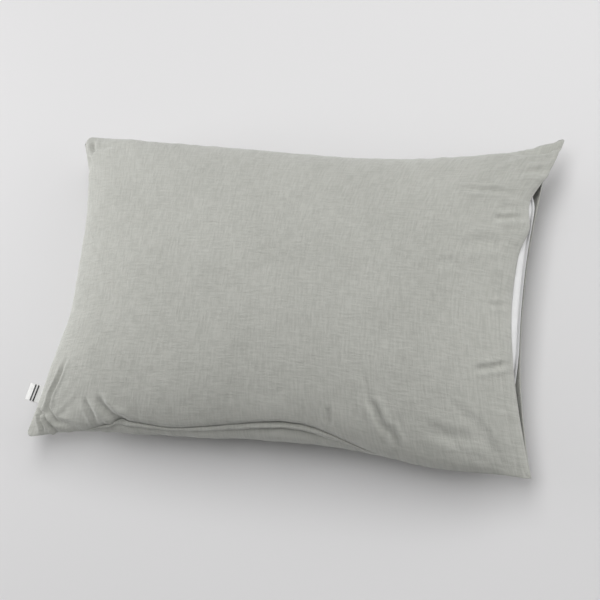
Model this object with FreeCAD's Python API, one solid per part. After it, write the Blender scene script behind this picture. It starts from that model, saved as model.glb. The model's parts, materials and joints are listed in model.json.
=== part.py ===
"""Bed pillow in a gauze case, lying flat on its back face.

Millimetres. X runs along the pillow, from the closed end (-X) to the open end of the case (+X).
Y runs across it, and +Z is up, out of the front face. The origin is the centre of the patch that
the pillow rests on.

The case is two cloth panels sewn along both long sides and the closed end, with their seam
allowances inside, and hemmed at the open end. The insert is a piped ticking bag with its fill.
"""
import FreeCAD, Part
import math
import os

from FreeCAD import Vector

# ---- the filled pillow ----
filled_length = 735.0       # corner to corner along X, cut from 750 flat
filled_width = 470.0        # corner to corner along Y, cut from 500 flat
crown_height = 96.0         # front face above the seam, at the middle
belly_depth = 84.0          # back face below the seam, before the bed flattens it
seam_height = 62.0          # seam above the bed, at the middle of a side
corner_height = 46.0        # seam above the bed, at a corner tip
long_side_pull = 30.0       # how far a long side's middle draws in from its corners
closed_end_pull = 27.0
front_mouth_pull = 41.0     # the front hem stands back from the back hem
back_mouth_pull = 34.0
pull_power = 4.0            # how square the drawn-in sides are
droop_power = 2.5           # how local the drooping corners are
mouth_half_gap = 12.0       # half the height of the open end, at its middle
rest_cut = 0.25             # how much of the belly the bed flattens away

# ---- the case ----
gauze = 0.9                 # double gauze
ply_gap = 0.25              # between two cloth layers that lie on each other
edge_lift = 0.06            # half the gap between two panels' edges, which the stitches hold
hem_width = 18.0
hem_end = 0.03              # share of the width by which a hem stops short of each side seam
allowance_clear = 0.4       # between a panel's inner edge and the seam allowance
allowance_width = 8.0
thread = 0.5
seam_stitch_in = 1.0        # lockstitch, in from the seam allowance's folded edge
stitch_lie = 0.05           # between a thread and the cloth it lies on
stitch_edge = 15.0          # hem stitching, from the hem's edge
hem_stitch_end = 0.06       # share of the width at each end of the hem stitching
hem_stitch_width = 0.8
hem_stitch_lie = 0.12       # more than stitch_lie, because its straight runs cross a curved cloth
tack_place = 0.968          # where a bar tack starts, as a share of half the length
tack_length, tack_height = 8.0, 3.2

# ---- the insert ----
rub_gap = 1.1               # between the case and the insert
mouth_room = 12.0           # further in at the open end, so the hems close over it
ticking = 0.4
piping = 4.4                # across the piping, cover and cord
piping_gap = 0.6            # between the piping's cover and the ticking's edge
piping_cover = 0.4
closing_length = 160.0      # hand-closed stretch of the insert's closed end

# ---- the labels ----
label_width = 26.0          # along the seam
label_length = 22.0         # out from the seam
label_ply = 0.4
label_slit = 0.2
label_gap = 1.3             # between the seam and the label's hinge line
label_place = -182.0        # its middle, along Y
stripe_width, stripe_gap, stripe_raise = 2.2, 2.6, 0.12
stripe_margin = 1.0         # between a stripe's end and the label's edge
care_length, care_width, care_ply = 46.0, 30.0, 0.3
care_along = 0.2            # the care labels' middles, as shares of the length and the width
case_care_across, insert_care_across = 0.13, 0.87

# ---- how finely the soft surfaces are drawn ----
poles_along, poles_across = 23, 19
rows_along_side = 25
bisections = 40             # halvings when a place on a surface is searched for

half_length, half_width = filled_length / 2, filled_width / 2
allowance_root = gauze + allowance_clear    # seam allowance, in from the seam's outer edge
stitch_root = allowance_root + seam_stitch_in
seam_room = allowance_root + allowance_width + rub_gap + piping + piping_gap
FRONT, BACK = 1, -1


def spread(count, low=-1.0, high=1.0):
    """Values from -1 to 1 that crowd towards both ends, kept from low to high."""
    lo, hi = math.asin(low), math.asin(high)
    return [math.sin(lo + (hi - lo) * i / (count - 1)) for i in range(count)]


def plan(u, v, inset, mouth_pull, mouth_inset=0.0):
    """Where (u, v), each from -1 to 1, lies in plan, for an outline set in by inset."""
    open_share = (1 + u) / 2
    end_pull = closed_end_pull + (mouth_pull - closed_end_pull) * open_share
    end_inset = inset + mouth_inset * open_share
    along = abs(u) * (1 - end_inset / half_length)
    across = abs(v) * (1 - inset / half_width)
    x = u * (half_length - end_inset - end_pull * (1 - across ** pull_power))
    y = v * (half_width - inset - long_side_pull * (1 - along ** pull_power))
    return x, y


def seam_z(x, y):
    """Height of the seam's surface: level along the sides, and down to the bed at the corners."""
    reach = min(1.0, abs(x) / half_length) ** droop_power * min(1.0, abs(y) / half_width) ** droop_power
    return seam_height - (seam_height - corner_height) * reach


def fullness(u, v, mouth_share):
    """Share of the crown at (u, v): 0 at a sewn edge, and mouth_share at the open end's middle."""
    along = 1 - u * u + (mouth_share * ((1 + u) / 2) ** 2) ** 2
    return math.sqrt(max(0.0, along) * max(0.0, 1 - v * v))


def skin(face, inset, floor, drop, mouth_pull, mouth_gap=0.0, mouth_inset=0.0, lift=0.0):
    """One side of the pillow as a smooth surface.

    inset moves its edge in, drop lowers its crown, and floor is where the bed stops it.
    mouth_gap is half the height that the end at +X stands open, and lift is how far its
    edge stands off the seam's surface.
    """
    crown = (crown_height if face == FRONT else belly_depth) - drop
    share = mouth_gap / crown
    poles = []
    for u in spread(poles_along):
        row = []
        for v in spread(poles_across):
            x, y = plan(u, v, inset, mouth_pull, mouth_inset)
            z = seam_z(x, y) + face * (lift + crown * fullness(u, v, share))
            row.append(Vector(x, y, max(z, floor) if face == BACK else z))
        poles.append(row)
    surface = Part.BSplineSurface()
    surface.buildFromPolesMultsKnots(
        poles, end_heavy(poles_along), end_heavy(poles_across),
        even_knots(poles_along), even_knots(poles_across), False, False, 3, 3)
    return surface


def end_heavy(count):
    return [4] + [1] * (count - 4) + [4]


def even_knots(count):
    last = count - 3
    return [i / last for i in range(count - 2)]


def closed_solid(faces):
    """The solid inside faces that share their edges."""
    shell = Part.makeCompound(faces)
    shell.sewShape(0.001)
    solid = Part.Solid(Part.Shell(shell.Faces))
    if solid.Volume < 0:
        solid.reverse()
    if not solid.isValid() or not solid.isClosed():
        raise ValueError("a soft solid did not close")
    return solid


def ply(outer, inner):
    """The cloth between two surfaces, with a narrow face round its edge."""
    rims = [
        Part.makeRuledSurface(a.toShape(), b.toShape())
        for a, b in zip(border(outer), border(inner))
    ]
    return closed_solid([outer.toShape(), inner.toShape()] + rims)


def border(surface):
    u0, u1, v0, v1 = surface.bounds()
    return [surface.uIso(u0), surface.uIso(u1), surface.vIso(v0), surface.vIso(v1)]


def patch(surface, u_low, u_high, v_low, v_high):
    """The part of a surface between those shares of its two parameters."""
    part = surface.copy()
    part.segment(u_low, u_high, v_low, v_high)
    return part


def beam(rows):
    """A long thin solid through rows of four corner points, given in order round the section."""
    edges = []
    for corner in zip(*rows):
        curve = Part.BSplineCurve()
        curve.interpolate(list(corner))
        edges.append(curve.toShape())
    sides = [Part.makeRuledSurface(edges[i], edges[(i + 1) % 4]) for i in range(4)]
    ends = []
    for row in (rows[0], rows[-1]):
        pairs = [Part.makeLine(row[0], row[1]), Part.makeLine(row[3], row[2])]
        ends.append(Part.makeRuledSurface(*pairs))
    return closed_solid(sides + ends)


def edge_run(side, start=-1.0, stop=1.0):
    """(u, v) along one side of the outline: top, bottom, closed or open."""
    steps = [start + (stop - start) * i / (rows_along_side - 1) for i in range(rows_along_side)]
    fixed = {"top": (None, 1), "bottom": (None, -1), "closed": (-1, None), "open": (1, None)}[side]
    return [(s if fixed[0] is None else fixed[0], s if fixed[1] is None else fixed[1]) for s in steps]


def edge_beam(run, inset_out, inset_in, low, high, level=allowance_root, mouth_inset=0.0):
    """A beam round the outline, between two insets and two heights from the seam's surface.

    level is the inset at which it takes the height of the seam's surface.
    """
    rows = []
    for u, v in run:
        outer, inner = (
            plan(u, v, inset, back_mouth_pull, mouth_inset) for inset in (inset_out, inset_in))
        base = seam_z(*plan(u, v, level, back_mouth_pull, mouth_inset))
        rows.append([
            Vector(*outer, base + low), Vector(*inner, base + low),
            Vector(*inner, base + high), Vector(*outer, base + high)])
    return beam(rows)


# ---- the case ----

# how far along its side, from -1 to 1, each seam allowance runs before the corner's turn
allowance_reach = {"top": (-0.93, 0.9), "bottom": (-0.93, 0.9), "closed": (-0.9, 0.9)}


def case_layer(face, depth):
    """The case's surface at that depth into its cloth, measured from the outside.

    The outermost one passes a little under the bed, which case_panel then cuts flat.
    """
    floor = depth if depth else -rest_cut
    pull = front_mouth_pull if face == FRONT else back_mouth_pull
    return skin(face, depth, floor, depth, pull, mouth_half_gap - depth, lift=edge_lift)


def case_panel(face):
    panel = ply(case_layer(face, 0.0), case_layer(face, gauze))
    if face == BACK:
        under = Part.makeBox(filled_length, filled_width, belly_depth,
                             Vector(-half_length, -half_width, -belly_depth))
        panel = panel.cut(under)
    return panel


def hem_share(width):
    """The u parameter of a line that far from the open end, at mid width."""
    edge = case_layer(FRONT, 0.0)
    low, high = 0.5, 1.0
    end = edge.value(1.0, 0.5)
    for _ in range(bisections):
        middle = (low + high) / 2
        if (edge.value(middle, 0.5) - end).Length > width:
            low = middle
        else:
            high = middle
    return low


def opening_hem(face):
    """The turned-in end of a panel, under the panel."""
    depth = gauze + ply_gap
    limits = (hem_share(hem_width), 1.0, hem_end, 1 - hem_end)
    return ply(patch(case_layer(face, depth), *limits), patch(case_layer(face, depth + gauze), *limits))


def hem_stitching(face):
    """The row of stitching that holds a hem, on the outside of the panel."""
    surface = case_layer(face, 0.0)
    u = hem_share(stitch_edge)
    step = 0.001
    across = (surface.value(u, 0.5) - surface.value(u + step, 0.5)).Length / step
    low, high = hem_stitch_lie, hem_stitch_lie + thread
    rows = []
    for i in range(rows_along_side):
        v = hem_stitch_end + (1 - 2 * hem_stitch_end) * i / (rows_along_side - 1)
        near, far = surface.value(u, v), surface.value(u + hem_stitch_width / across, v)
        out = surface.normal(u, v)
        if out.z * face < 0:
            out = out * -1
        rows.append([near + out * low, far + out * low, far + out * high, near + out * high])
    return beam(rows)


def seam_allowance(side):
    """Both panels' edges, turned in and overcast together."""
    run = edge_run(side, *allowance_reach[side])
    return edge_beam(run, allowance_root, allowance_root + allowance_width, -gauze, gauze)


def seam_thread(side):
    """The lockstitch through an allowance: needle thread above it, and bobbin thread below."""
    run = edge_run(side, *allowance_reach[side])
    near, far = gauze + stitch_lie, gauze + stitch_lie + thread
    return Part.makeCompound([
        edge_beam(run, stitch_root, stitch_root + thread, near, far),
        edge_beam(run, stitch_root, stitch_root + thread, -far, -near)])


def bar_tacks():
    """A short dense stitch over the seam, at each end of the opening."""
    tacks = []
    for side in ("top", "bottom"):
        run = edge_run(side, tack_place, tack_place + tack_length / half_length)
        tacks.append(edge_beam(run, -ply_gap - thread, -ply_gap, -tack_height / 2, tack_height / 2))
    return Part.makeCompound(tacks)


# ---- the insert ----

def insert_layer(face, depth, lift=0.0):
    """The insert's surface at that depth into its ticking."""
    below = gauze + rub_gap + depth
    return skin(face, seam_room + depth, below, below, back_mouth_pull, 0.0, mouth_room, lift)


def ticking_panel(face):
    return ply(insert_layer(face, 0.0, edge_lift), insert_layer(face, ticking, edge_lift))


def fibre_fill():
    depth = ticking + ply_gap
    return closed_solid([insert_layer(face, depth).toShape() for face in (FRONT, BACK)])


def ring(inset_out, inset_in, half_height):
    """Four mitred runs round the insert's seam."""
    return [
        edge_beam(edge_run(side), inset_out, inset_in, -half_height, half_height, seam_room, mouth_room)
        for side in ("top", "bottom", "closed", "open")]


def insert_piping():
    """The piping's cover: a hollow square section, sewn to the ticking's edge."""
    out = seam_room - piping_gap
    outer = ring(out - piping, out, piping / 2)
    hollow = ring(out - piping + piping_cover, out - piping_cover, piping / 2 - piping_cover)
    return Part.makeCompound([a.cut(b) for a, b in zip(outer, hollow)])


def piping_cord():
    skin_depth = piping_cover + ply_gap
    out = seam_room - piping_gap
    return Part.makeCompound(ring(out - piping + skin_depth, out - skin_depth, piping / 2 - skin_depth))


def closing_stitches():
    """The stitches that close the filling slit, over the piping's root at the closed end."""
    reach = closing_length / 2 / half_width
    out = seam_room - piping_gap - piping / 2
    low = piping / 2 + stitch_lie
    run = edge_run("closed", -reach, reach)
    return edge_beam(run, out, out + thread, low, low + thread, seam_room, mouth_room)


# ---- the labels ----

def label_frame():
    """The side label's hinge point, its direction along the seam, and its direction outwards."""
    edge = case_layer(FRONT, 0.0).uIso(0.0)
    low, high = 0.0, 1.0
    for _ in range(bisections):
        middle = (low + high) / 2
        if edge.value(middle).y < label_place:
            low = middle
        else:
            high = middle
    along = edge.tangent(low)[0]
    along = Vector(along.x, along.y, 0).normalize()
    outward = Vector(-along.y, along.x, 0)
    return edge.value(low) + outward * label_gap, along, outward


def on_label(shape):
    """Puts a shape drawn with X outwards, Y along the seam and Z up at the label's place."""
    hinge, along, outward = label_frame()
    up = outward.cross(along)
    turn = FreeCAD.Matrix(
        outward.x, along.x, up.x, hinge.x,
        outward.y, along.y, up.y, hinge.y,
        outward.z, along.z, up.z, hinge.z,
        0, 0, 0, 1)
    return shape.transformed(turn)


def side_label():
    """Woven tape folded end to end: two plies joined by the fold."""
    thick = 2 * label_ply + label_slit
    tape = Part.makeBox(label_length, label_width, thick, Vector(0, -label_width / 2, -thick / 2))
    slit = Part.makeBox(label_length - label_ply, label_width, label_slit,
                        Vector(0, -label_width / 2, -label_slit / 2))
    return on_label(tape.cut(slit))


def label_stripes():
    """Two plain woven stripes across each face of the label."""
    top = label_ply + label_slit / 2
    stripes = []
    for level in (top, -top - stripe_raise):
        for at in (label_length / 2 - stripe_gap / 2 - stripe_width, label_length / 2 + stripe_gap / 2):
            stripes.append(Part.makeBox(stripe_width, label_width - 2 * stripe_margin, stripe_raise,
                                        Vector(at, stripe_margin - label_width / 2, level)))
    return on_label(Part.makeCompound(stripes))


def care_label(layer, depth, u_middle, v_middle):
    """A thin tape that lies between the case and the insert, following them."""
    u_half, v_half = care_length / 2 / filled_length, care_width / 2 / filled_width
    limits = (u_middle - u_half, u_middle + u_half, v_middle - v_half, v_middle + v_half)
    return ply(patch(layer(BACK, depth), *limits), patch(layer(BACK, depth + care_ply), *limits))


nodes = {
    "case_front_panel": case_panel(FRONT),
    "case_back_panel": case_panel(BACK),
    "opening_hem_front": opening_hem(FRONT),
    "opening_hem_back": opening_hem(BACK),
    "front_hem_stitching": hem_stitching(FRONT),
    "back_hem_stitching": hem_stitching(BACK),
    "top_seam_allowance": seam_allowance("top"),
    "bottom_seam_allowance": seam_allowance("bottom"),
    "end_seam_allowance": seam_allowance("closed"),
    "top_seam_thread": seam_thread("top"),
    "bottom_seam_thread": seam_thread("bottom"),
    "end_seam_thread": seam_thread("closed"),
    "opening_bar_tacks": bar_tacks(),
    "case_care_label": care_label(case_layer, gauze + ply_gap, care_along, case_care_across),
    "side_label": side_label(),
    "side_label_stripes": label_stripes(),
    "insert_ticking_front": ticking_panel(FRONT),
    "insert_ticking_back": ticking_panel(BACK),
    "insert_piping_cover": insert_piping(),
    "insert_piping_cord": piping_cord(),
    "insert_fibre_fill": fibre_fill(),
    "insert_closing_stitches": closing_stitches(),
    "insert_care_label": care_label(insert_layer, -ply_gap - care_ply, care_along, insert_care_across),
}

os.makedirs("parts", exist_ok=True)
for name, shape in nodes.items():
    shape.exportStep(f"parts/{name}.step")
    box = shape.BoundBox
    print(f"{name:24s} solids {len(shape.Solids)}  volume {shape.Volume:12.1f} mm3  "
          f"x {box.XMin:.1f} {box.XMax:.1f}  y {box.YMin:.1f} {box.YMax:.1f}  z {box.ZMin:.2f} {box.ZMax:.2f}")
hinge, along, outward = label_frame()
print("label hinge", hinge, "along", along, "outward", outward)
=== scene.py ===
import json
import math
import random

import bmesh
import bpy
from mathutils import Matrix, Vector, noise
from mathutils.bvhtree import BVHTree


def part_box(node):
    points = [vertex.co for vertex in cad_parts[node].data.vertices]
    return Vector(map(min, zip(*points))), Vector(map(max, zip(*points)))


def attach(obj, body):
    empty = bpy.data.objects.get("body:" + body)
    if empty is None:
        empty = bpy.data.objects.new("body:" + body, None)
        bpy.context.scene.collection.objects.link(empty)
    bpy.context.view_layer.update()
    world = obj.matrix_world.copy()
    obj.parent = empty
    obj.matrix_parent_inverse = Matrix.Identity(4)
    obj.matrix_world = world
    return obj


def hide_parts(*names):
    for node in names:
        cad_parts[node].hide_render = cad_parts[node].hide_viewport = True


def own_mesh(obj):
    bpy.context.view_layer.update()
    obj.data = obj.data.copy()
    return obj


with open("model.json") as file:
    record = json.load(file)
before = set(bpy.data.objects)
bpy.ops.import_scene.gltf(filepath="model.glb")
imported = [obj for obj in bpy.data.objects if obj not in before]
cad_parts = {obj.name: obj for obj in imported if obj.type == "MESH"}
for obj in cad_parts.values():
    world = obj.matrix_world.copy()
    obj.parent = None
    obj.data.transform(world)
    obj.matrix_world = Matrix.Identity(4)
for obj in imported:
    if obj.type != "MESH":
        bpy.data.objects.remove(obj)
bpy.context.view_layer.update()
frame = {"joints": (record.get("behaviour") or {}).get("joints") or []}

# all lengths are metres; u runs along the pillow and v across it, each from -1 to 1

frontLow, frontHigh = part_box("case_front_panel")
_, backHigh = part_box("case_back_panel")
pillow = {
    "halfLength": frontHigh.x,
    "halfWidth": frontHigh.y,
    "seamHeight": backHigh.z,
    "cornerHeight": frontLow.z,
    "crown": frontHigh.z - backHigh.z - 0.002,
    "belly": 0.082,
    "mouthGap": 0.011,
    "flat": (0.75, 0.50),
    "cornerSlack": 0.10,       # cloth from a corner's tip to where the filling begins
    "cornerShare": 0.12,       # fullness left at the tip
    "droopPower": 2.5,
}

# how far an edge draws in, where it is deepest, and how square it is on either side of that
edges = {
    "top": {"depth": 0.042, "centre": 0.25, "power": (1.35, 3.0)},
    "bottom": {"depth": 0.014, "centre": -0.10, "power": (2.0, 1.6)},
    "closed": {"depth": 0.045, "centre": -0.25, "power": (1.2, 3.2)},
    "frontMouth": {"depth": 0.043, "centre": 0.0, "power": (2.0, 2.4)},
    "backMouth": {"depth": 0.033, "centre": 0.0, "power": (2.4, 2.4)},
}


# where the cloth spreads past that outline: a place on the cloth, its move, and how far it reaches
flares = [
    {"at": (-1.0, -1.0), "move": (-0.003, -0.009), "reach": 0.055},
    {"at": (-0.35, -1.0), "move": (0.0, -0.007), "reach": 0.18},
    {"at": (0.68, -1.0), "move": (0.0, -0.014), "reach": 0.11},
    {"at": (1.0, -1.0), "move": (-0.003, -0.004), "reach": 0.04},
    {"at": (-1.0, 0.86), "move": (-0.007, 0.0), "reach": 0.05},
    {"at": (1.0, 0.80), "move": (0.008, 0.0), "reach": 0.042, "mouth": "frontMouth"},
    {"at": (1.0, 0.80), "move": (-0.005, 0.0), "reach": 0.042, "mouth": "backMouth"},
    {"at": (1.0, 0.38), "move": (0.008, 0.0), "reach": 0.024, "mouth": "frontMouth"},
    {"at": (1.0, 0.56), "move": (-0.003, 0.0), "reach": 0.020, "mouth": "frontMouth"},
    {"at": (1.0, -0.05), "move": (-0.002, 0.0), "reach": 0.060, "mouth": "frontMouth"},
]


def pullIn(edge, t):
    side = edges[edge]
    span = 1 - side["centre"] if t > side["centre"] else 1 + side["centre"]
    share = (t - side["centre"]) / span
    power = side["power"][1] if share > 0 else side["power"][0]
    return side["depth"] * (1 - min(1.0, abs(share)) ** power)


def smoothStep(t):
    t = min(1.0, max(0.0, t))
    return t * t * (3 - 2 * t)


def planPoint(u, v, mouth, inset=0.0, endInset=0.0):
    sidePull = pullIn("top" if v > 0 else "bottom", u)
    endPull = pullIn("closed", v) if u < 0 else pullIn(mouth, v)
    x = u * (pillow["halfLength"] - endPull - inset - (endInset if u > 0 else 0.0))
    y = v * (pillow["halfWidth"] - sidePull - inset)
    for flare in flares:
        if flare.get("mouth", mouth) != mouth:
            continue
        across = (u - flare["at"][0]) * pillow["flat"][0] / 2
        up = (v - flare["at"][1]) * pillow["flat"][1] / 2
        away = math.hypot(across, up)
        share = math.exp(-(away / flare["reach"]) ** 2)
        x += flare["move"][0] * share
        y += flare["move"][1] * share
    return x, y


def seamLevel(x, y):
    reach = min(1.0, abs(x) / pillow["halfLength"]) * min(1.0, abs(y) / pillow["halfWidth"])
    droop = pillow["seamHeight"] - pillow["cornerHeight"]
    return pillow["seamHeight"] - droop * reach ** pillow["droopPower"]


def cornerFill(u, v):
    slack = (1 - abs(u)) * pillow["flat"][0] / 2 + (1 - abs(v)) * pillow["flat"][1] / 2
    return pillow["cornerShare"] + (1 - pillow["cornerShare"]) * smoothStep(slack / pillow["cornerSlack"])


def domePoint(u, v, front, mouth, inset=0.0, endInset=0.0, drop=0.0, mouthGap=0.0):
    x, y = planPoint(u, v, mouth, inset, endInset)
    crown = (pillow["crown"] if front else pillow["belly"]) - drop
    openEnd = (mouthGap / crown * ((1 + u) / 2) ** 2) ** 2
    full = math.sqrt(max(0.0, 1 - u * u + openEnd) * max(0.0, 1 - v * v)) * cornerFill(u, v)
    z = seamLevel(x, y) + (1 if front else -1) * crown * full
    return Vector((x, y, z if front else max(z, drop)))


class Socket:
    # A value in a shader, which + - * and the like join with Math nodes.
    def __init__(self, material, link):
        self.material = material
        self.link = link

    def maths(self, operation, *others):
        return self.material.node("ShaderNodeMath", {"operation": operation}, [self, *others])

    def __add__(self, other):
        return self.maths("ADD", other)

    def __sub__(self, other):
        return self.maths("SUBTRACT", other)

    def __rsub__(self, other):
        return self.material.node("ShaderNodeMath", {"operation": "SUBTRACT"}, [other, self])

    def __mul__(self, other):
        return self.maths("MULTIPLY", other)

    __radd__ = __add__
    __rmul__ = __mul__

    def clamp(self):
        return self.material.node("ShaderNodeClamp", {}, [self])

    def between(self, low, high):
        return self.material.node("ShaderNodeMapRange", {"interpolation_type": "SMOOTHSTEP"},
                                  {"Value": self, "From Min": low, "From Max": high})


class Finish:
    # A material under construction.
    def __init__(self, name):
        self.data = bpy.data.materials.new(name)
        self.data.use_nodes = True
        self.tree = self.data.node_tree
        self.tree.nodes.clear()
        self.shader = self.tree.nodes.new("ShaderNodeBsdfPrincipled")
        output = self.tree.nodes.new("ShaderNodeOutputMaterial")
        self.tree.links.new(self.shader.outputs[0], output.inputs["Surface"])

    def node(self, kind, settings, values, output=0):
        made = self.tree.nodes.new(kind)
        for key, value in settings.items():
            setattr(made, key, value)
        pairs = values.items() if isinstance(values, dict) else enumerate(values)
        for key, value in pairs:
            if isinstance(value, Socket):
                self.tree.links.new(value.link, made.inputs[key])
            else:
                made.inputs[key].default_value = value
        return Socket(self, made.outputs[output])

    def mix(self, factor, first, second):
        colours = {0: factor, 6: (*first, 1), 7: (*second, 1)}
        return self.node("ShaderNodeMix", {"data_type": "RGBA"}, colours, output=2)

    def set(self, **values):
        for key, value in values.items():
            socket = self.shader.inputs[key.replace("_", " ")]
            if isinstance(value, Socket):
                self.tree.links.new(value.link, socket)
            elif socket.type == "RGBA" and len(value) == 3:
                socket.default_value = (*value, 1)
            else:
                socket.default_value = value

    def bump(self, height, distance, strength=1.0, normal=None):
        values = {"Height": height, "Distance": distance, "Strength": strength}
        if normal:
            values["Normal"] = normal
        return self.node("ShaderNodeBump", {}, values)

    def uv(self, name):
        return self.node("ShaderNodeUVMap", {"uv_map": name}, [])

    def place(self):
        return self.node("ShaderNodeTexCoord", {}, [], output=3)

    def stretched(self, vector, scale, turn=0.0):
        return self.node("ShaderNodeMapping", {},
                         {"Vector": vector, "Scale": scale, "Rotation": (0, 0, turn)})

    def grain(self, vector, scale, detail=2.0, rough=0.5, distort=0.0):
        return self.node("ShaderNodeTexNoise", {},
                         {"Vector": vector, "Scale": scale, "Detail": detail,
                          "Roughness": rough, "Distortion": distort})

    def ribs(self, vector, pitch, direction, distort=0.0):
        # Yarns side by side, pitch apart; a Wave texture's bands are 2 pi / 20 wide at scale 1.
        return self.node("ShaderNodeTexWave", {"wave_type": "BANDS", "bands_direction": direction},
                         {"Vector": vector, "Scale": math.pi / 10 / pitch, "Distortion": distort,
                          "Detail": 1.0, "Detail Scale": 0.6})


gauze = {
    "pale": (0.508, 0.511, 0.474),
    "dark": (0.395, 0.398, 0.366),
    "yarn": 0.00075,
    "crinkleAlong": (340, 42, 1),      # streaks across the length
    "crinkleAcross": (52, 330, 1),
    "depth": 0.0009,
}


def gauzeFinish():
    finish = Finish("crinkled_gauze")
    cloth = finish.uv("cloth")
    wander = finish.grain(finish.stretched(cloth, (30, 30, 30)), 1.0, 1.0)
    warp = finish.grain(finish.stretched(cloth, gauze["crinkleAlong"]), 1.0, 2.0, 0.55, 0.15)
    weft = finish.grain(finish.stretched(cloth, gauze["crinkleAcross"]), 1.0, 2.0, 0.55, 0.15)
    slub = finish.grain(finish.stretched(cloth, (900, 18, 1)), 1.0, 1.0).between(0.62, 0.78)
    slubAcross = finish.grain(finish.stretched(cloth, (16, 850, 1)), 1.0, 1.0).between(0.62, 0.78)
    patches = finish.grain(finish.stretched(cloth, (9, 9, 9)), 1.0, 3.0, 0.6)
    crinkle = warp * (0.35 + wander * 0.9) + weft * (1.15 - wander * 0.9)
    yarns = finish.ribs(cloth, gauze["yarn"], "X", 1.5) + finish.ribs(cloth, gauze["yarn"], "Y", 1.5)
    tone = (crinkle.between(0.55, 0.95) * 0.55 + patches.between(0.3, 0.7) * 0.25
            + yarns * 0.06 + (slub + slubAcross) * 0.12).clamp()
    finish.set(Base_Color=finish.mix(tone, gauze["dark"], gauze["pale"]))
    fine = finish.bump(yarns, 0.00012, 0.5)
    finish.set(Normal=finish.bump(crinkle + (slub + slubAcross) * 0.25, gauze["depth"], 0.8, fine))
    finish.set(Roughness=0.95, Sheen_Weight=0.45, Sheen_Roughness=0.5,
          Sheen_Tint=(0.95, 0.96, 0.94), Specular_IOR_Level=0.15)
    return finish.data


def threadFinish(name, colour, pitch=0.0006):
    finish = Finish(name)
    place = finish.place()
    twist = finish.ribs(finish.stretched(place, (1, 1, 1), 0.7), pitch, "X", 0.8)
    shade, light = [c * 0.8 for c in colour], [min(1, c * 1.08) for c in colour]
    finish.set(Base_Color=finish.mix(twist * 0.6, shade, light))
    finish.set(Normal=finish.bump(twist, 0.0001, 0.6), Roughness=0.8, Sheen_Weight=0.2)
    return finish.data


ticking = {
    "colour": (0.86, 0.86, 0.85),
    "shade": (0.74, 0.745, 0.75),
    "yarn": 0.0005,
    "depth": 0.0012,
}


def tickingFinish():
    finish = Finish("white_ticking")
    cloth = finish.uv("cloth")
    yarns = finish.ribs(cloth, ticking["yarn"], "X", 0.8) + finish.ribs(cloth, ticking["yarn"], "Y", 0.8)
    ruck = finish.grain(finish.stretched(cloth, (26, 34, 1)), 1.0, 4.0, 0.6, 0.6)
    neps = finish.grain(finish.stretched(cloth, (260, 260, 1)), 1.0, 1.0).between(0.55, 0.8)
    tone = (ruck * 0.5 + yarns * 0.15 + neps * 0.2).clamp()
    finish.set(Base_Color=finish.mix(tone, ticking["shade"], ticking["colour"]))
    fine = finish.bump(yarns, 0.0001, 0.4)
    finish.set(Normal=finish.bump(ruck, ticking["depth"], 0.5, fine))
    finish.set(Roughness=0.85, Sheen_Weight=0.15, Specular_IOR_Level=0.25)
    return finish.data


def tapeFinish(name, colour, shade):
    finish = Finish(name)
    cloth = finish.uv("cloth")
    ribs = finish.ribs(cloth, 0.0006, "X", 0.3) + finish.ribs(cloth, 0.0012, "Y", 0.3) * 0.5
    finish.set(Base_Color=finish.mix((ribs * 0.5).clamp(), shade, colour))
    finish.set(Normal=finish.bump(ribs, 0.00012, 0.7), Roughness=0.6, Sheen_Weight=0.2)
    return finish.data


def fibreFinish():
    finish = Finish("white_fibre")
    place = finish.place()
    strands = finish.grain(finish.stretched(place, (60, 60, 60)), 4.0, 6.0, 0.75, 1.2)
    finish.set(Base_Color=finish.mix(strands, (0.72, 0.72, 0.72), (0.95, 0.95, 0.95)))
    finish.set(Normal=finish.bump(strands, 0.002, 0.8), Roughness=0.95, Sheen_Weight=0.5)
    return finish.data


finishes = {
    "gauze": gauzeFinish(),
    "caseThread": threadFinish("sage_thread", (0.47, 0.475, 0.44)),
    "ticking": tickingFinish(),
    "insertThread": threadFinish("white_thread", (0.8, 0.8, 0.79)),
    "tape": tapeFinish("white_tape", (0.9, 0.9, 0.885), (0.78, 0.78, 0.765)),
    "stripe": tapeFinish("charcoal_yarn", (0.035, 0.035, 0.04), (0.015, 0.015, 0.017)),
    "cord": threadFinish("cotton_cord", (0.78, 0.76, 0.72), 0.0025),
    "fibre": fibreFinish(),
}
print("finishes made", len(finishes))


def shown(name, data):
    # an object in the scene, at the origin
    holder = bpy.data.objects.new(name, data)
    bpy.context.scene.collection.objects.link(holder)
    return holder


def finishedMesh(holder):
    # an object's mesh with its modifiers applied
    return bpy.data.meshes.new_from_object(holder.evaluated_get(bpy.context.evaluated_depsgraph_get()))


def treeOf(mesh, sides=(0, 1)):
    # a mesh's faces for finding the nearest one, or only those of one panel
    faces = [tuple(face.vertices) for face in mesh.polygons if face.material_index in sides]
    return BVHTree.FromPolygons([vert.co.copy() for vert in mesh.vertices], faces)


def newCloth(bm):
    return bm.verts.layers.float.new("u"), bm.verts.layers.float.new("v")


def addPiece(name, bm, finish, body, nodes):
    mesh = bpy.data.meshes.new(name)
    bm.to_mesh(mesh)
    bm.free()
    for face in mesh.polygons:
        face.use_smooth = True
        face.material_index = 0
    mesh.materials.append(finishes[finish])
    piece = shown(name, mesh)
    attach(piece, body)
    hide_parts(*nodes)
    return piece


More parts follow.
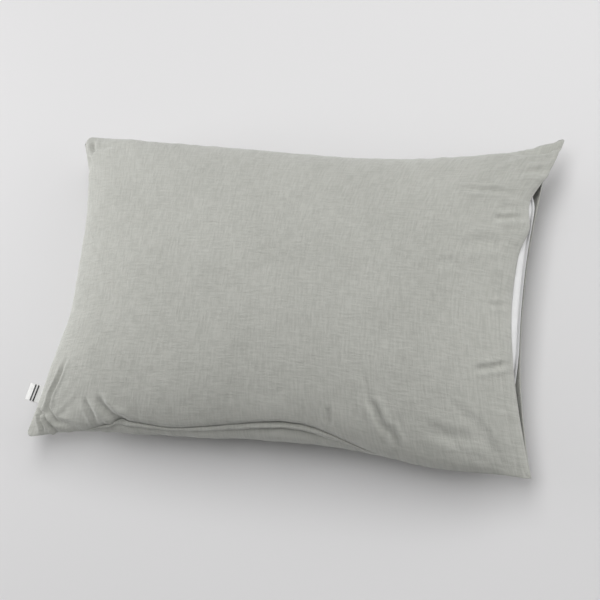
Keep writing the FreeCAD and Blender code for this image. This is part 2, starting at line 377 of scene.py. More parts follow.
def sewnBag(name, pitch, shape, openEnd):
    # Two flat panels, u by v, shaped to a filled bag and joined along their sewn edges.
    length, width = pillow["flat"]
    bm = bmesh.new()
    uLayer, vLayer = newCloth(bm)
    sewn = []
    for front in (True, False):
        grid = bmesh.ops.create_grid(
            bm, x_segments=round(length / pitch), y_segments=round(width / pitch), size=1.0)
        for vert in grid["verts"]:
            u, v = vert.co.x, vert.co.y
            vert[uLayer], vert[vLayer] = u, v
            vert.co = shape(u, v, front)
            if abs(v) > 1 - 1e-6 or u < -1 + 1e-6 or (not openEnd and u > 1 - 1e-6):
                sewn.append(vert)
        if not front:
            panel = {face for vert in grid["verts"] for face in vert.link_faces}
            for face in panel:
                face.material_index = 1
            bmesh.ops.reverse_faces(bm, faces=list(panel))
    bmesh.ops.remove_doubles(bm, verts=sewn, dist=1e-6)
    mesh = bpy.data.meshes.new(name)
    bm.to_mesh(mesh)
    bm.free()
    return mesh


def settle(mesh, cloth):
    # Lets a bag's cloth find its own length over the filling, and returns the settled mesh.
    bag = shown(mesh.name, mesh)
    length, width = pillow["flat"]
    bag.shape_key_add(name="filled")
    cut = bag.shape_key_add(name="cut")
    us = [a.value for a in mesh.attributes["u"].data]
    vs = [a.value for a in mesh.attributes["v"].data]
    for key, u, v in zip(cut.data, us, vs):
        key.co = (u * length / 2 * cloth["ease"], v * width / 2 * cloth["ease"], 0.0)
    held = bag.vertex_groups.new(name="held")
    sewn = [i for i, (u, v) in enumerate(zip(us, vs)) if abs(v) > 1 - 1e-5 or u < -1 + 1e-5]
    mouth = [i for i, (u, v) in enumerate(zip(us, vs)) if u > 1 - 1e-5 and abs(v) <= 1 - 1e-5]
    held.add(sewn, 1.0, "REPLACE")
    held.add(mouth, cloth["mouthHold"], "REPLACE")
    modifier = bag.modifiers.new("Cloth", "CLOTH")
    settings = modifier.settings
    settings.quality = cloth["quality"]
    settings.mass = cloth["mass"]
    settings.air_damping = cloth["air"]
    settings.tension_stiffness = cloth["stretch"]
    settings.compression_stiffness = cloth["press"]
    settings.shear_stiffness = cloth["shear"]
    settings.bending_stiffness = cloth["bend"]
    settings.vertex_group_mass = held.name
    settings.rest_shape_key = cut
    settings.use_pressure = True
    settings.uniform_pressure_force = cloth["pressure"]
    settings.effector_weights.gravity = 0
    modifier.point_cache.frame_start = 1
    modifier.point_cache.frame_end = cloth["frames"]
    for now in range(1, cloth["frames"] + 1):
        bpy.context.scene.frame_set(now)
    settled = finishedMesh(bag)
    moved = 0.0
    for start, vert in zip(mesh.vertices, settled.vertices):
        shift = vert.co - start.co
        moved = max(moved, shift.length)
        if shift.length > cloth["cap"]:
            vert.co = start.co + shift * (cloth["cap"] / shift.length)
    bpy.data.objects.remove(bag)
    bpy.context.scene.frame_set(1)
    print(mesh.name, "settled, most moved", round(moved, 4))
    return settled


def refined(mesh):
    # The mesh once subdivided, with its u and v.
    holder = shown("refining", mesh)
    divide = holder.modifiers.new("Subdivision", "SUBSURF")
    divide.levels = divide.render_levels = 1
    divide.boundary_smooth = "PRESERVE_CORNERS"
    fine = finishedMesh(holder)
    bpy.data.objects.remove(holder)
    return fine


caseCloth = {
    "pitch": 0.0055,
    "ease": 1.012,
    "mouthHold": 0.5,
    "quality": 6,
    "mass": 0.15,
    "air": 3.0,
    "stretch": 40,
    "press": 40,
    "shear": 8,
    "bend": 0.15,
    "pressure": 4.0,
    "frames": 26,
    "cap": 0.012,
}


def caseShape(u, v, front):
    return domePoint(u, v, front, "frontMouth" if front else "backMouth", mouthGap=pillow["mouthGap"])


def sidesOf(mesh):
    # 1 for a vertex of the front panel, -1 for the back one, and 0 on a sewn edge.
    seen = [set() for _ in mesh.vertices]
    for face in mesh.polygons:
        for i in face.vertices:
            seen[i].add(face.material_index)
    return [0 if len(s) > 1 else 1 - 2 * s.pop() for s in seen]


def clothCoordinates(mesh):
    return [a.value for a in mesh.attributes["u"].data], [a.value for a in mesh.attributes["v"].data]


def seamColumns(mesh, side, reach):
    # rows of vertices square to a seam: the place along it, then how far each lies over it, front positive
    us, vs = clothCoordinates(mesh)
    length, width = pillow["flat"]
    columns = {}
    for i, (u, v, face) in enumerate(zip(us, vs, sidesOf(mesh))):
        along, away = (v, (1 + u) * length / 2) if side == "closed" else (u, (1 - abs(v)) * width / 2)
        near = u < 0 if side == "closed" else v > 0 if side == "top" else v < 0
        if near and away < reach:
            columns.setdefault(round(along, 4), []).append((away * (face or 1), i))
    return {along: sorted(columns[along]) for along in sorted(columns)}


def placeOn(column, points, goal):
    # the point of a column that far over its seam
    k = max(j for j in range(len(column) - 1) if column[j][0] <= goal or j == 0)
    share = (goal - column[k][0]) / max(column[k + 1][0] - column[k][0], 1e-9)
    return points[k].lerp(points[k + 1], share)


# where a seam turns onto the front, from -1 to 1 along its side, how far that reaches, and how much
rolls = {
    "top": [{"at": 0.93, "reach": 0.11, "amount": 0.018, "groove": 0.0060}],
    "bottom": [
        {"at": 0.16, "reach": 0.20, "amount": 0.012, "groove": 0.0050},
        {"at": -0.10, "reach": 0.33, "amount": 0.010, "groove": 0.0050},
        {"at": -0.55, "reach": 0.15, "amount": 0.009, "groove": 0.0050}],
    "closed": [{"at": 0.79, "reach": 0.12, "amount": 0.011, "groove": 0.0055}],
}
rolling = {"reach": 0.026, "groove": 0.0055, "band": 0.013}


def rollSeam(mesh, side):
    normals = [n.vector.copy() for n in mesh.vertex_normals]
    for along, column in seamColumns(mesh, side, 0.09).items():
        shares = [(roll, math.exp(-((along - roll["at"]) / roll["reach"]) ** 2)) for roll in rolls[side]]
        amount = sum(roll["amount"] * share for roll, share in shares)
        groove = sum(roll["groove"] * share for roll, share in shares)
        if amount < 1e-4:
            continue
        points = [mesh.vertices[i].co.copy() for _, i in column]
        sewn = min(range(len(column)), key=lambda k: abs(column[k][0]))
        seam = placeOn(column, points, amount)
        inward = -(normals[column[min(sewn + 2, len(column) - 1)][1]] + Vector((0, 0, 0.3))).normalized()
        for q, i in column:
            goal = q + amount * math.exp(-(q / rolling["reach"]) ** 2)
            goal = min(max(goal, column[0][0]), column[-1][0])
            spot = placeOn(column, points, goal)
            width = rolling["groove"] if goal > amount else rolling["band"]
            dent = groove * math.exp(-((spot - seam).length / width) ** 2)
            mesh.vertices[i].co = spot + inward * dent


# a corner's tip turned back behind the pillow: its cut along the two sides, and the fold's radius
ears = [
    {"corner": (-1, 1), "cut": (0.017, 0.021), "radius": 0.0035},
    {"corner": (-1, -1), "cut": (0.014, 0.012), "radius": 0.0022},
]


def foldEar(mesh, ear):
    us, vs = clothCoordinates(mesh)
    length, width = pillow["flat"]
    across, up = ear["cut"]
    depth = 1 / math.hypot(1 / across, 1 / up)
    outward = Vector((ear["corner"][0] / across, ear["corner"][1] / up, 0)).normalized()
    for vert, u, v in zip(mesh.vertices, us, vs):
        a = (1 - ear["corner"][0] * u) * length / 2
        b = (1 - ear["corner"][1] * v) * width / 2
        s = depth * (1 - a / across - b / up)
        if s <= 0:
            continue
        turn = min(s / ear["radius"], math.pi)
        past = max(0.0, s - math.pi * ear["radius"])
        level = seamLevel(vert.co.x, vert.co.y)
        above = vert.co.z - level
        vert.co += outward * (ear["radius"] * math.sin(turn) - past - s + above * math.sin(turn))
        vert.co.z = level - ear["radius"] * (1 - math.cos(turn)) + above * math.cos(turn)


# a crease pressed into the front: half its width, its depth, the swell beside it, and its line in plan
def pressed(width, depth, swell, *line):
    return {"width": width, "depth": depth, "swell": swell, "line": line}


creases = [
    pressed(0.0045, 0.0045, 0.5, (0.292, 0.093), (0.318, 0.1), (0.333, 0.107)),
    pressed(0.007, 0.0028, 0.3, (0.296, 0.107), (0.315, 0.111), (0.33, 0.112)),
    pressed(0.004, 0.002, 0.9, (0.235, 0.129), (0.279, 0.132), (0.312, 0.136)),
    pressed(0.009, 0.0026, 0.35, (0.25, 0.044), (0.276, 0.055), (0.306, 0.062)),
    pressed(0.007, 0.0018, 0.3, (0.226, 0.016), (0.256, 0.024)),
    pressed(0.0055, 0.0034, 0.6, (0.316, 0.168), (0.342, 0.176), (0.358, 0.19)),
    pressed(0.0045, 0.0016, 0.8, (0.298, 0.168), (0.33, 0.188), (0.352, 0.196)),
    pressed(0.004, 0.0028, 0.8, (0.286, -0.118), (0.313, -0.108), (0.328, -0.098)),
    pressed(0.004, 0.0016, 0.6, (0.296, -0.028), (0.318, -0.022)),
    pressed(0.004, 0.0022, 0.6, (0.103, -0.182), (0.103, -0.206)),
    pressed(0.0045, -0.0022, 0.5, (0.143, -0.14), (0.148, -0.169), (0.152, -0.194)),
    pressed(0.005, 0.004, 0.7, (0.16, -0.168), (0.171, -0.19), (0.183, -0.214)),
    pressed(0.0045, 0.003, 0.6, (0.184, -0.196), (0.198, -0.226)),
    pressed(0.008, 0.0018, 0.4, (0.225, -0.196), (0.262, -0.204), (0.31, -0.202)),
    pressed(0.0055, 0.006, 0.5, (-0.238, -0.186), (-0.23, -0.2), (-0.216, -0.212), (-0.19, -0.219)),
    pressed(0.004, 0.0026, 0.8, (-0.262, -0.19), (-0.25, -0.209), (-0.243, -0.224)),
    pressed(0.0035, 0.004, 0.55, (-0.298, -0.13), (-0.31, -0.159), (-0.326, -0.186), (-0.33, -0.204),
            (-0.312, -0.221), (-0.27, -0.229)),
    pressed(0.003, 0.0042, 0.8, (-0.347, -0.205), (-0.343, -0.219), (-0.336, -0.236)),
    pressed(0.0028, 0.0038, 0.8, (-0.338, -0.211), (-0.328, -0.224), (-0.312, -0.236)),
    pressed(0.003, 0.004, 0.6, (-0.354, -0.204), (-0.344, -0.208), (-0.333, -0.214)),
    pressed(0.0045, 0.0034, 0.6, (-0.348, 0.222), (-0.343, 0.208), (-0.334, 0.198)),
    pressed(0.0045, 0.0014, 0.7, (-0.338, 0.206), (-0.318, 0.204), (-0.296, 0.206)),
]


def nearestOnLine(x, y, line):
    # Signed distance from a line in plan, and the share of the line's length passed there.
    total = sum(math.dist(a, b) for a, b in zip(line, line[1:]))
    best, passed = (1e9, 0.0, 1.0), 0.0
    for (ax, ay), (bx, by) in zip(line, line[1:]):
        span = math.dist((ax, ay), (bx, by))
        t = min(1.0, max(0.0, ((x - ax) * (bx - ax) + (y - ay) * (by - ay)) / span ** 2))
        away = math.dist((x, y), (ax + t * (bx - ax), ay + t * (by - ay)))
        if away < best[0]:
            side = (bx - ax) * (y - ay) - (by - ay) * (x - ax)
            best = (away, (passed + t * span) / total, math.copysign(1.0, side))
        passed += span
    return best[0] * best[2], best[1]


def pressCreases(mesh):
    sides = sidesOf(mesh)
    normals = [n.vector.copy() for n in mesh.vertex_normals]
    for crease in creases:
        reach = 4 * crease["width"]
        xs = [p[0] for p in crease["line"]]
        ys = [p[1] for p in crease["line"]]
        for i, vert in enumerate(mesh.vertices):
            x, y = vert.co.x, vert.co.y
            if (sides[i] < 0 or not min(xs) - reach < x < max(xs) + reach
                    or not min(ys) - reach < y < max(ys) + reach):
                continue
            away, share = nearestOnLine(x, y, crease["line"])
            t = away / crease["width"]
            fade = smoothStep(4 * share * (1 - share) + 0.12)
            dent = math.exp(-t * t) - crease["swell"] * math.exp(-((abs(t) - 1.8) / 0.8) ** 2)
            vert.co -= normals[i] * (crease["depth"] * dent * fade)


undulation = {"broad": 0.0011, "broadSize": 0.055, "fine": 0.00045, "fineSize": 0.014,
              "pucker": 0.0011, "puckerSize": 0.016, "puckerReach": 0.022,
              "lying": 0.002, "edge": 0.004}


def undulate(mesh):
    # Soft unevenness of cloth over fibre, with small puckers that die away from the seams.
    us, vs = clothCoordinates(mesh)
    length, width = pillow["flat"]
    normals = [n.vector.copy() for n in mesh.vertex_normals]
    for vert, normal, u, v in zip(mesh.vertices, normals, us, vs):
        spot = vert.co
        if spot.z < undulation["lying"]:
            continue
        toEnd, toSide = (1 - abs(u)) * length / 2, (1 - abs(v)) * width / 2
        along = Vector((u * length / 2 if toSide < toEnd else 0, v * width / 2 if toEnd < toSide else 0, 0))
        pucker = (noise.noise(along / undulation["puckerSize"] + Vector((7, 3, spot.z * 9)))
                  * math.exp(-min(toEnd, toSide) / undulation["puckerReach"]) * undulation["pucker"])
        broad = noise.noise(spot / undulation["broadSize"] + Vector((3, 1, 5))) * undulation["broad"]
        fine = noise.noise(spot / undulation["fineSize"]) * undulation["fine"]
        ridge = min(1.0, min(toEnd, toSide) / undulation["edge"])
        vert.co += normal * ((pucker + broad + fine) * ridge)


def restOnBed(mesh):
    for vert in mesh.vertices:
        vert.co.z = max(vert.co.z, 0.0)


caseBag = sewnBag("case_bag", caseCloth["pitch"], caseShape, openEnd=True)
caseBag = settle(caseBag, caseCloth)
caseBag = refined(caseBag)
for side in rolls:
    rollSeam(caseBag, side)
for ear in ears:
    foldEar(caseBag, ear)
pressCreases(caseBag)
undulate(caseBag)
restOnBed(caseBag)
caseTree = treeOf(caseBag)
panelTrees = {1: treeOf(caseBag, (0,)), -1: treeOf(caseBag, (1,))}
print("case cloth", len(caseBag.vertices))


def panelBmesh(mesh, side):
    bm = bmesh.new()
    bm.from_mesh(mesh)
    others = [face for face in bm.faces if face.material_index != side]
    bmesh.ops.delete(bm, geom=others, context="FACES")
    return bm


def layCloth(bm, offset=0.0):
    # The cloth's own coordinates as a UV map in metres, for weaves.
    uLayer, vLayer = bm.verts.layers.float["u"], bm.verts.layers.float["v"]
    cloth = bm.loops.layers.uv.new("cloth")
    length, width = pillow["flat"]
    for face in bm.faces:
        for loop in face.loops:
            loop[cloth].uv = (loop.vert[uLayer] * length / 2, loop.vert[vLayer] * width / 2 + offset)


hem = {
    "depth": 0.0175,
    "plies": 0.0021,
    "nose": 0.0008,
    "stitchIn": 0.0148,
    "groove": 0.0006,
    "grooveWidth": 0.0016,
    "puff": 0.0007,            # the swell between the edge and the stitches, and how fast it comes and goes
    "rise": 0.003,
    "fall": 0.004,
    "thinFrom": 0.03,          # the hem thins this near its two ends
    "ply": 0.0025,             # cloth taken up by each row that is turned in
    "stitchStep": 0.0033,
    "stitch": (0.0021, 0.0007, 0.0005),
}


def mouthColumns(bm):
    # The panel's vertices near the open end, as rows from the edge inwards for each place across.
    uLayer, vLayer = bm.verts.layers.float["u"], bm.verts.layers.float["v"]
    length = pillow["flat"][0]
    columns = {}
    for vert in bm.verts:
        if (1 - vert[uLayer]) * length / 2 < hem["depth"] + 0.006:
            columns.setdefault(round(vert[vLayer], 4), []).append(vert)
    for column in columns.values():
        column.sort(key=lambda vert: -vert[uLayer])
    return [columns[key] for key in sorted(columns)]


def pulledOut(bm, edges):
    # new vertices drawn out of a row of edges, and the row of edges between them
    made = bmesh.ops.extrude_edge_only(bm, edges=edges)["geom"]
    fresh = {item for item in made if isinstance(item, bmesh.types.BMVert)}
    rail = [item for item in made
            if isinstance(item, bmesh.types.BMEdge) and all(vert in fresh for vert in item.verts)]
    return fresh, rail


def turnHem(bm):
    # Presses the stitched groove and turns the panel's edge in under itself.
    uLayer, vLayer = bm.verts.layers.float["u"], bm.verts.layers.float["v"]
    length = pillow["flat"][0]
    bm.normal_update()
    columns = mouthColumns(bm)
    for column in columns:
        lively = 1 + 0.5 * noise.noise(Vector((column[0][vLayer] * 22, 0, 4)))
        for vert in column:
            inwards = (1 - vert[uLayer]) * length / 2
            sunk = math.exp(-((inwards - hem["stitchIn"]) / hem["grooveWidth"]) ** 2)
            puff = smoothStep(inwards / hem["rise"]) * smoothStep((hem["stitchIn"] - inwards) / hem["fall"])
            vert.co += vert.normal * (puff * hem["puff"] * lively - sunk * hem["groove"] * lively)
    bm.normal_update()
    path = {}
    for column in columns:
        v = column[0][vLayer]
        thin = smoothStep((1 - abs(v)) / hem["thinFrom"]) * 0.9 + 0.1
        out = (column[0].co - column[1].co).normalized()
        normal = column[1].normal
        edge = column[0].co
        steps = [edge + out * hem["nose"] - normal * hem["plies"] * 0.25 * thin,
                 edge + out * hem["nose"] - normal * hem["plies"] * 0.75 * thin,
                 edge - normal * hem["plies"] * thin]
        steps += [vert.co - vert.normal * hem["plies"] * thin
                  for vert in column[1:] if (1 - vert[uLayer]) * length / 2 < hem["depth"]]
        path[round(v, 4)] = steps
    edgeNow = [e for e in bm.edges if all(vert[uLayer] > 1 - 1e-5 for vert in e.verts)]
    for step in range(min(len(steps) for steps in path.values())):
        fresh, edgeNow = pulledOut(bm, edgeNow)
        for vert in fresh:
            vert.co = path[round(vert[vLayer], 4)][step]
            vert[uLayer] = 1 + (step + 1) * hem["ply"] * 2 / length


def alongHem(bm):
    # Points and normals of the stitched line, from one side seam to the other.
    uLayer = bm.verts.layers.float["u"]
    length = pillow["flat"][0]
    line = []
    for column in mouthColumns(bm):
        for near, far in zip(column, column[1:]):
            a, b = (1 - near[uLayer]) * length / 2, (1 - far[uLayer]) * length / 2
            if a <= hem["stitchIn"] < b:
                line.append((near.co.lerp(far.co, (hem["stitchIn"] - a) / (b - a)), near.normal.copy()))
    return line


def walk(line, step):
    # Evenly spaced (point, direction, normal) along points with normals.
    left = step / 2
    for (a, na), (b, nb) in zip(line, line[1:]):
        span = (b - a).length
        while left < span:
            share = left / span
            yield a.lerp(b, share), (b - a).normalized(), na.lerp(nb, share).normalized()
            left += step
        left -= span


def addStitch(bm, axes, point, halves, lean=None):
    turn = Matrix(axes).transposed().to_4x4()
    turn.translation = point
    if lean is not None:
        turn = turn @ lean
    shape = Matrix.Diagonal((*halves, 1))
    bmesh.ops.create_uvsphere(bm, u_segments=6, v_segments=4, radius=1.0, matrix=turn @ shape)


def stitchRow(line, step, size, slant=0.0, lift=0.0):
    # A row of short rounded stitches lying along a line.
    bm = bmesh.new()
    rng = random.Random(5)
    for point, along, normal in walk(line, step):
        across = normal.cross(along).normalized()
        lean = Matrix.Rotation(slant + rng.uniform(-0.06, 0.06), 4, "Z")
        addStitch(bm, (along, across, normal), point + normal * lift, [side / 2 for side in size], lean)
    return bm


hinge = next(joint for joint in frame["joints"] if joint["name"] == "label_flap")


def fittedToCase(piece):
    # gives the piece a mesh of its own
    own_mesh(piece)


casePanels = [("case_front", 0, ["case_front_panel", "opening_hem_front"], "front_hem_stitching"),
              ("case_back", 1, ["case_back_panel", "opening_hem_back"], "back_hem_stitching")]
for name, side, nodes, stitching in casePanels:
    bm = panelBmesh(caseBag, side)
    stitchLine = alongHem(bm)
    turnHem(bm)
    layCloth(bm, side)
    panel = addPiece(name, bm, "gauze", "case", nodes)
    fittedToCase(panel)
    stitches = stitchRow(stitchLine[3:-3], hem["stitchStep"], hem["stitch"], lift=-0.0002)
    row = addPiece(name + "_hem_stitches", stitches, "caseThread", "case", [stitching])
    fittedToCase(row)
print("case panels, hems and stitching made")


def seamPoints(mesh, side):
    # the sewn edge of one side, in order
    us, vs = clothCoordinates(mesh)
    found = []
    for i, (u, v) in enumerate(zip(us, vs)):
        onSide = u < -1 + 1e-5 if side == "closed" else (v > 1 - 1e-5 if side == "top" else v < -1 + 1e-5)
        if onSide:
            found.append((v if side == "closed" else u, i))
    return [mesh.vertices[i].co.copy() for _, i in sorted(found)]


allowance = {"width": 0.008, "thick": 0.0015, "root": 0.0013, "rows": 3, "stitchIn": 0.0024,
             "stitchStep": 0.0028, "stitch": (0.0022, 0.0006, 0.0006), "stitchLift": 0.0003,
             "top": (-0.93, 0.78), "bottom": (-0.93, 0.9), "closed": (-0.9, 0.66)}


def betweenPanels(mesh, side, depth):
    # a line halfway between the two panels, that far in from their seam, and the way to the front panel
    first, last = allowance[side]
    line = []
    for along, column in seamColumns(mesh, side, 0.03).items():
        if not first <= along <= last or column[0][0] >= 0:
            continue
        points = [mesh.vertices[i].co for _, i in column]
        front, back = placeOn(column, points, depth), placeOn(column, points, -depth)
        line.append(((front + back) / 2, (front - back).normalized()))
    return line


def tube(points, radius, name, sides=2, closed=False):
    # a round rod along points
    curve = bpy.data.curves.new(name, "CURVE")
    curve.dimensions = "3D"
    curve.bevel_depth = radius
    curve.bevel_resolution = sides
    spline = curve.splines.new("POLY")
    spline.points.add(len(points) - 1)
    for knot, point in zip(spline.points, points):
        knot.co = (*point, 1)
    spline.use_cyclic_u = closed
    holder = shown(name, curve)
    mesh = finishedMesh(holder)
    bpy.data.objects.remove(holder)
    bm = bmesh.new()
    bm.from_mesh(mesh)
    return bm


def spotKey(point):
    return tuple(round(part, 7) for part in point)


def seamAllowance(side):
    # both panels' raw edges, folded in and lying between them
    bm = bmesh.new()
    uLayer, vLayer = newCloth(bm)
    rows = allowance["rows"]
    depths = [allowance["root"] + allowance["width"] * k / rows for k in range(rows + 1)]
    lines = [[point for point, _ in betweenPanels(caseBag, side, depth)] for depth in depths]
    row = [bm.verts.new(point) for point in lines[0]]
    run = 0.0
    for k, vert in enumerate(row):
        run += (lines[0][k] - lines[0][k - 1]).length if k else 0.0
        vert[uLayer] = run * 2 / pillow["flat"][0]
    rails = [bm.edges.new(pair) for pair in zip(row, row[1:])]
    for depth, line in zip(depths[1:], lines[1:]):
        fresh, rails = pulledOut(bm, rails)
        before = {spotKey(vert.co): point for vert, point in zip(row, line)}
        for vert in fresh:
            vert.co = before[spotKey(vert.co)]
            vert[vLayer] = depth * 2 / pillow["flat"][1]
        order = {spotKey(point): k for k, point in enumerate(line)}
        row = sorted(fresh, key=lambda vert: order[spotKey(vert.co)])
    layCloth(bm, 3.0)
    bmesh.ops.recalc_face_normals(bm, faces=bm.faces)
    bmesh.ops.solidify(bm, geom=bm.faces[:], thickness=allowance["thick"])
    return bm


for side, word in (("top", "top"), ("bottom", "bottom"), ("closed", "end")):
    strip = addPiece(word + "_seam_edges", seamAllowance(side), "gauze", "case",
                     [word + "_seam_allowance"])
    fittedToCase(strip)
    line = betweenPanels(caseBag, side, allowance["stitchIn"])
    stitches = stitchRow(line, allowance["stitchStep"], allowance["stitch"],
                         lift=allowance["thick"] / 2 + allowance["stitchLift"])
    thread = addPiece(word + "_seam_stitches", stitches, "caseThread", "case",
                      [word + "_seam_thread"])
    fittedToCase(thread)


tacks = {"lift": 0.0003, "step": 0.0009, "halves": (0.0016, 0.0004, 0.0003)}


def barTacks():
    bm = bmesh.new()
    for side in ("top", "bottom"):
        end = seamPoints(caseBag, side)[-7:-1]
        outward = Vector((0, 1 if side == "top" else -1, 0))
        line = [(point + outward * tacks["lift"], outward) for point in end]
        for point, along, normal in walk(line, tacks["step"]):
            across = normal.cross(along).normalized()
            addStitch(bm, (across, along, normal), point, tacks["halves"])
    return bm


openingTacks = addPiece("opening_tacks", barTacks(), "caseThread", "case",
                        ["opening_bar_tacks"])
fittedToCase(openingTacks)


tape = {"flat": (0.046, 0.030), "thick": 0.0003, "weave": 0.12, "below": -0.05}


def tapePatch(node, tree, lift, offset):
    # a small tape over the middle of its CAD node's place, following the cloth above it
    low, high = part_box(node)
    centre, size = (low + high) / 2, high - low
    bm = bmesh.new()
    uLayer, vLayer = newCloth(bm)
    bmesh.ops.create_grid(bm, x_segments=16, y_segments=10, size=0.5)
    for vert in bm.verts:
        vert[uLayer], vert[vLayer] = vert.co.x * tape["weave"], vert.co.y * tape["weave"]
        x, y = centre.x + vert.co.x * size.x, centre.y + vert.co.y * size.y
        hit = tree.ray_cast(Vector((x, y, tape["below"])), Vector((0, 0, 1)))[0]
        vert.co = (hit or Vector((x, y, low.z))) + Vector((0, 0, lift))
    layCloth(bm, offset)
    bmesh.ops.solidify(bm, geom=bm.faces[:], thickness=tape["thick"])
    return bm


careTape = addPiece("case_care_tape", tapePatch("case_care_label", caseTree, 0.0012, 5.0), "tape",
                    "case", ["case_care_label"])
fittedToCase(careTape)


label = {
    "wide": 0.026,
    "out": 0.0225,
    "ply": 0.00045,
    "tuck": 0.003,
    "curl": 0.0016,
    "stripes": (0.0072, 0.0120),
    "stripe": 0.0024,
}
labelRoot = Vector(hinge["pos_m"])
labelAlong = Vector(hinge["axis"]).normalized()
labelOut = Vector((-labelAlong.y, labelAlong.x, 0)).normalized()


def labelSpot(out, along, lift):
    # A place on the label, which bows a little and lifts at one corner.
    bow = label["curl"] * math.sin(math.pi * min(1, max(0, out / label["out"])))
    bow += 0.0012 * (out / label["out"]) ** 2 * (along / label["wide"])
    return labelRoot + labelOut * out + labelAlong * along + Vector((0, 0, bow + lift))


def labelTape():
    # A tape folded end to end, its fold outwards and its ends in the seam.
    bm = bmesh.new()
    uLayer, vLayer = newCloth(bm)
    bmesh.ops.create_grid(bm, x_segments=36, y_segments=16, size=0.5)
    reach = label["out"] + label["tuck"]
    for vert in bm.verts:
        run, across = vert.co.x * 2, vert.co.y
        turn = math.copysign(1, run) * min(1.0, abs(run) * 14)
        out = label["out"] - abs(run) * reach
        vert[uLayer], vert[vLayer] = run * reach * 2 / pillow["flat"][0], across * label["wide"] * 4
        vert.co = labelSpot(out, across * label["wide"], turn * label["ply"] * 0.8)
    bmesh.ops.recalc_face_normals(bm, faces=bm.faces)
    layCloth(bm, 7.0)
    bmesh.ops.solidify(bm, geom=bm.faces[:], thickness=label["ply"])
    return bm


def labelStripes():
    bm = bmesh.new()
    uLayer, vLayer = newCloth(bm)
    for lift in (label["ply"] * 1.45, -label["ply"] * 1.45):
        for middle in label["stripes"]:
            made = bmesh.ops.create_grid(bm, x_segments=3, y_segments=16, size=0.5)["verts"]
            for vert in made:
                x, y = vert.co.x, vert.co.y
                vert[uLayer], vert[vLayer] = x * 0.01, y * 0.1
                vert.co = labelSpot(middle + x * label["stripe"], y * (label["wide"] - 0.0012), lift)
    layCloth(bm, 8.0)
    bmesh.ops.solidify(bm, geom=bm.faces[:], thickness=0.00012)
    return bm


tab = addPiece("side_tab", labelTape(), "tape", "label", ["side_label"])
addPiece("side_tab_stripes", labelStripes(), "stripe", "label", ["side_label_stripes"])
print("label made")


insert = {
    "flat": (0.72, 0.47),
    "pitch": 0.009,
    "inset": 0.016,
    "cornerInset": 0.024,      # how much more its corners keep back from the case's own
    "mouthInset": -0.012,
    "drop": 0.006,
    "clear": 0.0028,
    "hemClear": 0.0042,
    "closeBy": 0.02,           # the case's cloth is looked for this near
    "sewnPart": 0.29,          # up to here along X the case is closed round the insert
    "mouthPart": (0.24, 0.26), # past the second of these the panel above is found with rays
    "mouthStep": 0.0015,
    "cornerBack": (0.020, 0.016),      # and those at the open end, upper and lower
    "piping": 0.0022,
    "cord": 0.0014,
}
insertCloth = dict(caseCloth, ease=0.955, bend=0.3, frames=16, pressure=3.0, cap=0.008, mouthHold=1.0)


def insertShape(u, v, front):
    upper, lower = insert["cornerBack"]
    corners = upper * smoothStep((v - 0.55) / 0.35) + lower * smoothStep((-v - 0.3) / 0.7)
    inset = insert["inset"] + insert["cornerInset"] * (u * v) ** 4
    return domePoint(u, v, front, "backMouth", inset, insert["mouthInset"] + corners, insert["drop"])


def keepInside(mesh, clear):
    # Moves what would reach the case's cloth back inside it.
    sides = sidesOf(mesh)
    for vert, side in zip(mesh.vertices, sides):
        spot, normal, _, away = caseTree.find_nearest(vert.co)
        room = clear if side else clear + insert["piping"]
        tooNear = (vert.co - spot).dot(normal) > -room and away < insert["closeBy"]
        if tooNear and vert.co.x < insert["sewnPart"]:
            vert.co = spot - normal * room
    for vert, side in zip(mesh.vertices, sides):
        x, y = vert.co.x, vert.co.y
        if x < insert["mouthPart"][1] or side == 0:
            continue
        hit = None
        while hit is None and x > insert["mouthPart"][0]:
            hit = panelTrees[side].ray_cast(Vector((x, y, 0.3 * side)), Vector((0, 0, -side)))[0]
            x -= insert["mouthStep"]
        if hit and (vert.co.z - hit.z) * side > -insert["hemClear"]:
            vert.co.z = hit.z - side * insert["hemClear"]


insertBag = sewnBag("insert_bag", insert["pitch"], insertShape, openEnd=False)
insertBag = settle(insertBag, insertCloth)
insertBag = refined(insertBag)
keepInside(insertBag, insert["clear"])

insertPanels = [("insert_front", 0, "insert_ticking_front"), ("insert_back", 1, "insert_ticking_back")]
for name, side, node in insertPanels:
    bm = panelBmesh(insertBag, side)
    layCloth(bm, 10 + side)
    panel = addPiece(name, bm, "ticking", "insert", [node])


def insertEdge():
    # The insert's seam, once round.
    top, bottom = seamPoints(insertBag, "top"), seamPoints(insertBag, "bottom")
    closed = seamPoints(insertBag, "closed")
    us, vs = clothCoordinates(insertBag)
    openEnd = [point for _, point in sorted(
        (v, insertBag.vertices[i].co.copy()) for i, (u, v) in enumerate(zip(us, vs)) if u > 1 - 1e-5)]
    return top[:-1] + openEnd[::-1][:-1] + bottom[::-1][:-1] + closed[:-1]


edgeRound = insertEdge()
centreLine = [p + (p - Vector((0, 0, p.z))).normalized() * insert["piping"] * 0.6 for p in edgeRound]


def pipingBmesh(radius, name):
    bm = tube(centreLine, radius, name, 3, closed=True)
    uLayer, vLayer = newCloth(bm)
    length, width = pillow["flat"]
    for vert in bm.verts:
        vert[uLayer], vert[vLayer] = vert.co.x * 2 / length, vert.co.y * 2 / width
    layCloth(bm, 14.0)
    return bm


addPiece("insert_piping", pipingBmesh(insert["piping"], "insert_piping"), "ticking", "insert",
         ["insert_piping_cover"])
addPiece("insert_cord", pipingBmesh(insert["cord"], "insert_cord"), "cord", "insert",
         ["insert_piping_cord"])


def filling():
    bm = bmesh.new()
    bm.from_mesh(insertBag)
    bm.normal_update()
    for vert in bm.verts:
        vert.co -= vert.normal * 0.0014
    return bm


fibre = addPiece("filling", filling(), "fibre", "insert", ["insert_fibre_fill"])

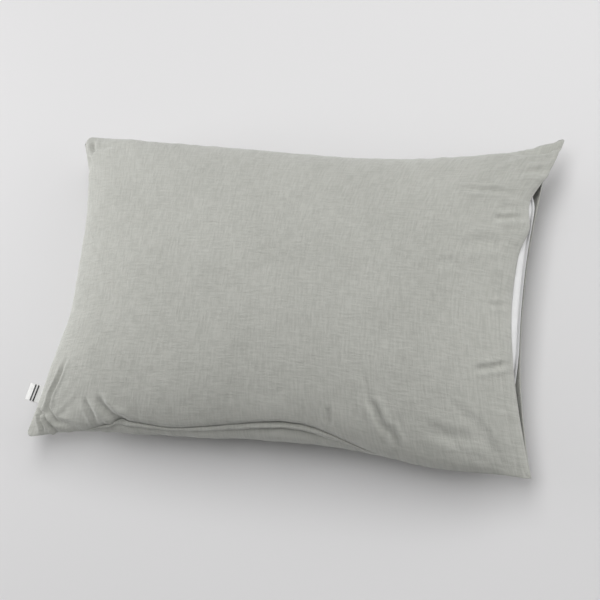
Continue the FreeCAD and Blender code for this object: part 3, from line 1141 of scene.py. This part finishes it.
closingEdge = [p for p in seamPoints(insertBag, "closed") if abs(p.y) < 0.08]
closing = stitchRow([(p + Vector((-0.001, 0, insert["piping"] * 0.9)), Vector((-0.3, 0, 1)).normalized())
                     for p in closingEdge], 0.0042, (0.0042, 0.0007, 0.0006), slant=0.9)
addPiece("insert_closing", closing, "insertThread", "insert", ["insert_closing_stitches"])


insertTape = addPiece("insert_care_tape", tapePatch("insert_care_label", treeOf(insertBag), -0.0005, 16.0),
                      "tape", "insert", ["insert_care_label"])
print("insert made")


studio = {"floor": (0.74, 0.735, 0.74), "room": (0.97, 0.97, 0.97), "fill": 0.22}
aimPoint = (0, 0, 0.06)

# each light's place, its size and its power
lights = {
    "window": ((0.1, 1.35, 2.1), 1.4, 18),
    "right": ((1.4, 1.4, 1.3), 1.2, 8),
    "side": ((-1.95, 0.1, 0.35), 1.0, 27),
    "overhead": ((0, 0, 2.4), 1.4, 18),
    "end": ((1.9, 0.1, 0.7), 1.0, 8),
}


def standStage():
    bm = bmesh.new()
    bmesh.ops.create_grid(bm, x_segments=1, y_segments=1, size=6.0)
    mesh = bpy.data.meshes.new("floor")
    bm.to_mesh(mesh)
    bm.free()
    finish = Finish("pale_floor")
    finish.set(Base_Color=studio["floor"], Roughness=0.9)
    mesh.materials.append(finish.data)
    shown("floor", mesh)


def addLight(name, place, size, power):
    light = bpy.data.lights.new(name, "AREA")
    light.size = size
    light.energy = power
    lamp = shown(name, light)
    lamp.location = place
    lamp.rotation_euler = (Vector(aimPoint) - Vector(place)).to_track_quat("-Z", "Y").to_euler()


def lightRoom():
    world = bpy.data.worlds.new("room")
    bpy.context.scene.world = world
    world.use_nodes = True
    background = world.node_tree.nodes["Background"]
    background.inputs["Color"].default_value = (*studio["room"], 1)
    background.inputs["Strength"].default_value = studio["fill"]
    bpy.context.scene.view_settings.view_transform = "Standard"


standStage()
for name, (place, size, power) in lights.items():
    addLight(name, place, size, power)
lightRoom()
print("stage and lights made")

view = {
    "azimuth": 47.8,
    "elevation": 65.19,
    "roll": -42.4,
    "aim": (0.0168, -0.0135, 0.0373),
    "distance": 1.887,
    "lens": 79.86,
    "sensor": 36,
}


def placeCamera():
    data = bpy.data.cameras.new("camera")
    data.lens = view["lens"]
    data.sensor_width = view["sensor"]
    camera = shown("camera", data)
    azimuth, elevation = math.radians(view["azimuth"]), math.radians(view["elevation"])
    back = Vector((math.sin(azimuth) * math.cos(elevation),
                   -math.cos(azimuth) * math.cos(elevation), math.sin(elevation)))
    turn = back.to_track_quat("Z", "Y").to_matrix() @ Matrix.Rotation(math.radians(view["roll"]), 3, "Z")
    camera.matrix_world = turn.to_4x4()
    camera.location = Vector(view["aim"]) + back * view["distance"]
    bpy.context.scene.camera = camera


placeCamera()
